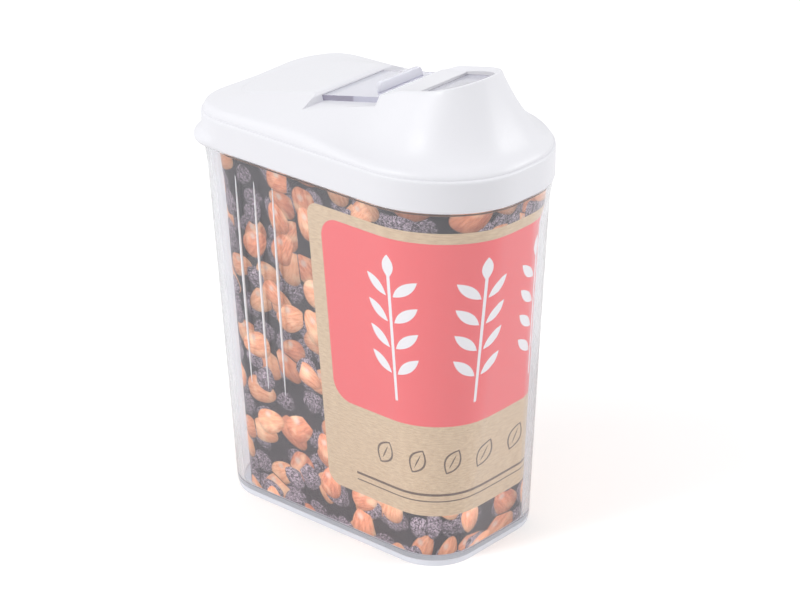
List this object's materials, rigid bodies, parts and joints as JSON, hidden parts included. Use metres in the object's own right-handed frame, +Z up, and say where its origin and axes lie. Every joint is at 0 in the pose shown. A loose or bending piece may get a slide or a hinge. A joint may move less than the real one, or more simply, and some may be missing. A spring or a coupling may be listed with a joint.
{
  "type": "dry food pouring canister",
  "caption": "Clear drafted canister with a white pull-off lid, whose raised spout is opened and closed by a clear sliding shutter, and a printed card sleeve inside.",
  "frame": {"origin": "centre of the container's underside", "axes": "+X along the canister towards the pouring spout, +Y across it, +Z up"},
  "size_m": [0.1089, 0.065, 0.1484],
  "materials": {
    "clear_plastic": "clear, high gloss",
    "white_plastic": "white, soft gloss",
    "shutter_plastic": "clear with a grey-violet cast, high gloss",
    "printed_card": "printed, coated card"
  },
  "bodies": {
    "container": {"container": "clear_plastic", "inlay_card": "printed_card"},
    "lid": {"lid": "white_plastic"},
    "slider": {"slider": "shutter_plastic"}
  },
  "joints": [
    {"name": "lid_lift", "type": "slide", "parent": "container", "child": "lid", "axis": [0, 0, 1], "range_m": [0, 0.03]},
    {"name": "slider_slide", "type": "slide", "parent": "lid", "child": "slider", "axis": [-0.9767, 0, -0.2147], "range_m": [0, 0.0174]}
  ]
}
